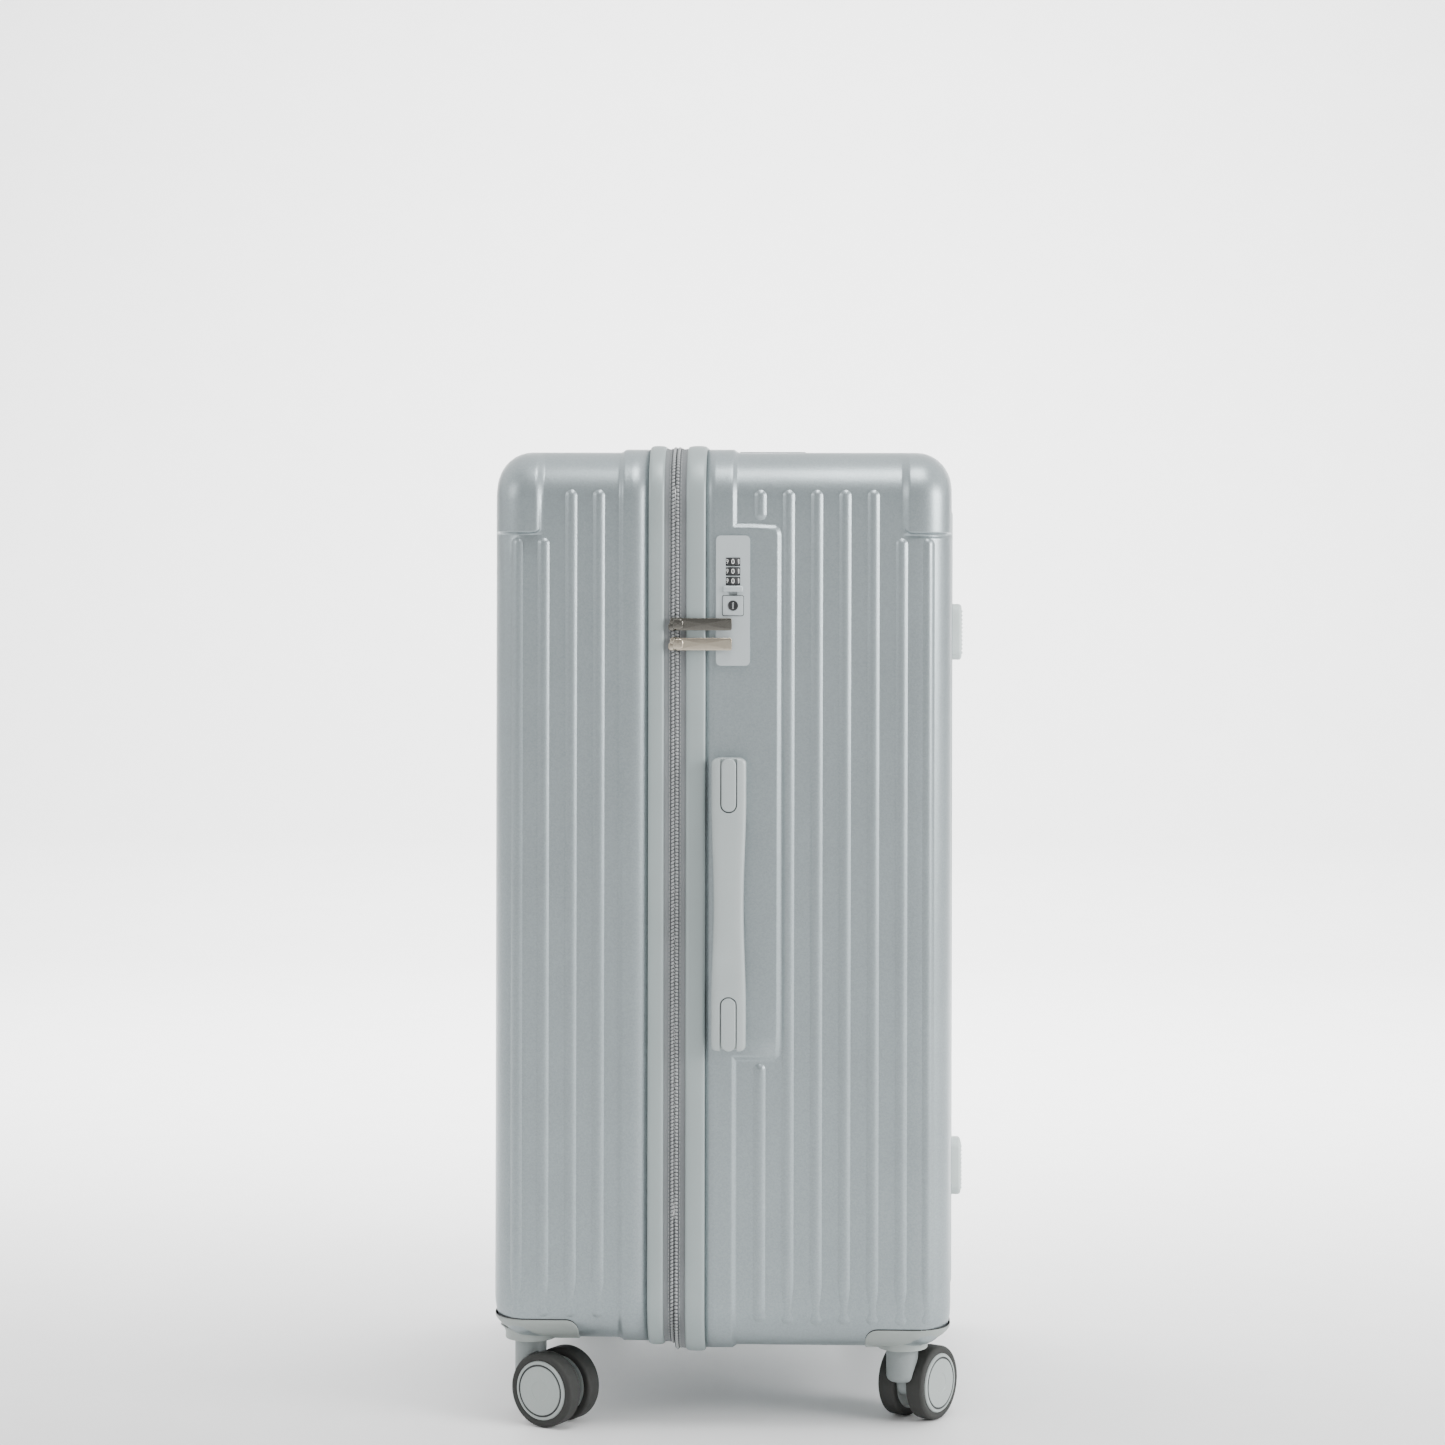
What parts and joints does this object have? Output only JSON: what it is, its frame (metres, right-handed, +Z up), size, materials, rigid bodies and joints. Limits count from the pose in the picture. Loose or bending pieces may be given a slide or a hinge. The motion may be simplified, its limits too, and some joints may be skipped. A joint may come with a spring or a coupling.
{
  "type": "wheeled hard shell suitcase",
  "caption": "Tall hard shell suitcase on twin-wheel casters, opening at a side hinge, with a number lock, carrying handles and a telescopic handle.",
  "frame": {"origin": "on the floor, under the middle of the object's box", "axes": "+Z up; -Y towards the side with the lock and the side handle, +Y the hinge side; +X towards the deep rear half with the feet, -X the shallow front half"},
  "size_m": [0.3834, 0.4765, 0.7995],
  "materials": {
    "shell": "moulded hard shell, metallic silver with a fine grain",
    "rim": "satin silver",
    "zip_tape": "woven grey tape",
    "zip_teeth": "pale coil",
    "lining": "woven grey lining",
    "fitting": "fine-grained light grey plastic",
    "foot": "light grey plastic, finely ribbed",
    "lock": "satin silver",
    "dial": "black with white figures",
    "steel": "bright steel",
    "pull": "dark chrome",
    "tube": "satin aluminium",
    "fork": "grey plastic",
    "tyre": "dark grey rubber",
    "hub": "light grey plastic"
  },
  "bodies": {
    "rear_half": {"rear_shell": "shell", "rear_rim": "rim", "rear_zip_tape": "zip_tape", "rear_zip_teeth": "zip_teeth", "rear_lining": "lining", "tube_cover": "lining", "rear_feet": "foot", "lock_plate": "lock", "side_handle_bases": "fitting", "top_handle_bases": "fitting", "trolley_bezel": "fitting", "trolley_outer_tubes": "tube", "rear_near_housing": "fitting", "rear_far_housing": "fitting"},
    "front_half": {"front_shell": "shell", "front_rim": "rim", "front_zip_tape": "zip_tape", "front_zip_teeth": "zip_teeth", "front_lining": "lining", "front_near_housing": "fitting", "front_far_housing": "fitting"},
    "zip_slider_high": {"zip_slider_high": "pull"},
    "zip_slider_low": {"zip_slider_low": "pull"},
    "pull_tab_high": {"pull_tab_high": "pull"},
    "pull_tab_low": {"pull_tab_low": "pull"},
    "lock_dial_1": {"lock_dial_1": "dial"},
    "lock_dial_2": {"lock_dial_2": "dial"},
    "lock_dial_3": {"lock_dial_3": "dial"},
    "release_button": {"release_button": "lock"},
    "key_cylinder": {"key_cylinder": "steel"},
    "side_handle_grip": {"side_handle_grip": "fitting"},
    "top_handle_grip": {"top_handle_grip": "fitting"},
    "trolley_mid": {"trolley_mid_tubes": "tube"},
    "trolley_inner": {"trolley_inner_tubes": "tube", "trolley_grip": "fitting"},
    "trolley_button": {"trolley_button": "fitting"},
    "front_near_fork": {"front_near_fork": "fork", "front_near_axle": "steel"},
    "front_near_wheel_a": {"front_near_tyre_a": "tyre", "front_near_hub_a": "hub"},
    "front_near_wheel_b": {"front_near_tyre_b": "tyre", "front_near_hub_b": "hub"},
    "front_far_fork": {"front_far_fork": "fork", "front_far_axle": "steel"},
    "front_far_wheel_a": {"front_far_tyre_a": "tyre", "front_far_hub_a": "hub"},
    "front_far_wheel_b": {"front_far_tyre_b": "tyre", "front_far_hub_b": "hub"},
    "rear_near_fork": {"rear_near_fork": "fork", "rear_near_axle": "steel"},
    "rear_near_wheel_a": {"rear_near_tyre_a": "tyre", "rear_near_hub_a": "hub"},
    "rear_near_wheel_b": {"rear_near_tyre_b": "tyre", "rear_near_hub_b": "hub"},
    "rear_far_fork": {"rear_far_fork": "fork", "rear_far_axle": "steel"},
    "rear_far_wheel_a": {"rear_far_tyre_a": "tyre", "rear_far_hub_a": "hub"},
    "rear_far_wheel_b": {"rear_far_tyre_b": "tyre", "rear_far_hub_b": "hub"}
  },
  "joints": [
    {"name": "lid_hinge", "type": "hinge", "parent": "rear_half", "child": "front_half", "pos_m": [-0.0424, 0.23865, 0.43], "axis": [0, 0, -1], "range_deg": [0, 180]},
    {"name": "front_near_swivel", "type": "hinge", "parent": "front_half", "child": "front_near_fork", "pos_m": [-0.1624, -0.1702, 0.03], "axis": [0, 0, 1], "continuous": true},
    {"name": "front_near_spin_a", "type": "hinge", "parent": "front_near_fork", "child": "front_near_wheel_a", "pos_m": [-0.14097, -0.18308, 0.03], "axis": [0.515, 0.8572, 0], "continuous": true},
    {"name": "front_near_spin_b", "type": "hinge", "parent": "front_near_fork", "child": "front_near_wheel_b", "pos_m": [-0.14097, -0.18308, 0.03], "axis": [0.515, 0.8572, 0], "continuous": true},
    {"name": "front_far_swivel", "type": "hinge", "parent": "front_half", "child": "front_far_fork", "pos_m": [-0.1624, 0.1858, 0.03], "axis": [0, 0, 1], "continuous": true},
    {"name": "front_far_spin_a", "type": "hinge", "parent": "front_far_fork", "child": "front_far_wheel_a", "pos_m": [-0.13891, 0.17725, 0.03], "axis": [0.342, 0.9397, 0], "continuous": true},
    {"name": "front_far_spin_b", "type": "hinge", "parent": "front_far_fork", "child": "front_far_wheel_b", "pos_m": [-0.13891, 0.17725, 0.03], "axis": [0.342, 0.9397, 0], "continuous": true},
    {"name": "rear_near_swivel", "type": "hinge", "parent": "rear_half", "child": "rear_near_fork", "pos_m": [0.1426, -0.1702, 0.03], "axis": [0, 0, 1], "continuous": true},
    {"name": "rear_near_spin_a", "type": "hinge", "parent": "rear_near_fork", "child": "rear_near_wheel_a", "pos_m": [0.15585, -0.149, 0.03], "axis": [-0.848, 0.5299, 0], "continuous": true},
    {"name": "rear_near_spin_b", "type": "hinge", "parent": "rear_near_fork", "child": "rear_near_wheel_b", "pos_m": [0.15585, -0.149, 0.03], "axis": [-0.848, 0.5299, 0], "continuous": true},
    {"name": "rear_far_swivel", "type": "hinge", "parent": "rear_half", "child": "rear_far_fork", "pos_m": [0.1426, 0.1858, 0.03], "axis": [0, 0, 1], "continuous": true},
    {"name": "rear_far_spin_a", "type": "hinge", "parent": "rear_far_fork", "child": "rear_far_wheel_a", "pos_m": [0.12826, 0.16532, 0.03], "axis": [0.8192, -0.5736, 0], "continuous": true},
    {"name": "rear_far_spin_b", "type": "hinge", "parent": "rear_far_fork", "child": "rear_far_wheel_b", "pos_m": [0.12826, 0.16532, 0.03], "axis": [0.8192, -0.5736, 0], "continuous": true},
    {"name": "slider_high_run", "type": "slide", "parent": "rear_half", "child": "zip_slider_high", "axis": [0, 0, 1], "range_m": [0, 0.09]},
    {"name": "slider_low_run", "type": "slide", "parent": "rear_half", "child": "zip_slider_low", "axis": [0, 0, -1], "range_m": [0, 0.5]},
    {"name": "pull_tab_high_turn", "type": "hinge", "parent": "zip_slider_high", "child": "pull_tab_high", "pos_m": [-0.0424, -0.2261, 0.6545], "axis": [0, 0, -1], "range_deg": [0, 160]},
    {"name": "pull_tab_low_turn", "type": "hinge", "parent": "zip_slider_low", "child": "pull_tab_low", "pos_m": [-0.0424, -0.2261, 0.6385], "axis": [0, 0, -1], "range_deg": [0, 160]},
    {"name": "dial_1_turn", "type": "hinge", "parent": "rear_half", "child": "lock_dial_1", "pos_m": [0.0043, -0.2161, 0.7048], "axis": [0, 0, 1], "continuous": true},
    {"name": "dial_2_turn", "type": "hinge", "parent": "rear_half", "child": "lock_dial_2", "pos_m": [0.0043, -0.2161, 0.697], "axis": [0, 0, 1], "continuous": true},
    {"name": "dial_3_turn", "type": "hinge", "parent": "rear_half", "child": "lock_dial_3", "pos_m": [0.0043, -0.2161, 0.6892], "axis": [0, 0, 1], "continuous": true},
    {"name": "release_button_slide", "type": "slide", "parent": "rear_half", "child": "release_button", "axis": [0, 0, -1], "range_m": [0, 0.0025], "stiffness_N_per_m": 400, "springref_m": -0.001},
    {"name": "key_turn", "type": "hinge", "parent": "rear_half", "child": "key_cylinder", "pos_m": [0.0043, -0.2212, 0.6695], "axis": [0, 1, 0], "range_deg": [0, 90]},
    {"name": "side_handle_lift", "type": "slide", "parent": "rear_half", "child": "side_handle_grip", "axis": [0, -1, 0], "range_m": [0, 0.012], "stiffness_N_per_m": 300, "springref_m": -0.003},
    {"name": "top_handle_lift", "type": "slide", "parent": "rear_half", "child": "top_handle_grip", "axis": [0, 0, 1], "range_m": [0, 0.012], "stiffness_N_per_m": 300, "springref_m": -0.003},
    {"name": "trolley_mid_slide", "type": "slide", "parent": "rear_half", "child": "trolley_mid", "axis": [0, 0, 1], "range_m": [0, 0.16]},
    {"name": "trolley_inner_slide", "type": "slide", "parent": "trolley_mid", "child": "trolley_inner", "axis": [0, 0, 1], "range_m": [0, 0.18]},
    {"name": "trolley_button_push", "type": "slide", "parent": "trolley_inner", "child": "trolley_button", "axis": [0, 0, -1], "range_m": [0, 0.0015], "stiffness_N_per_m": 500, "springref_m": -0.0012}
  ]
}
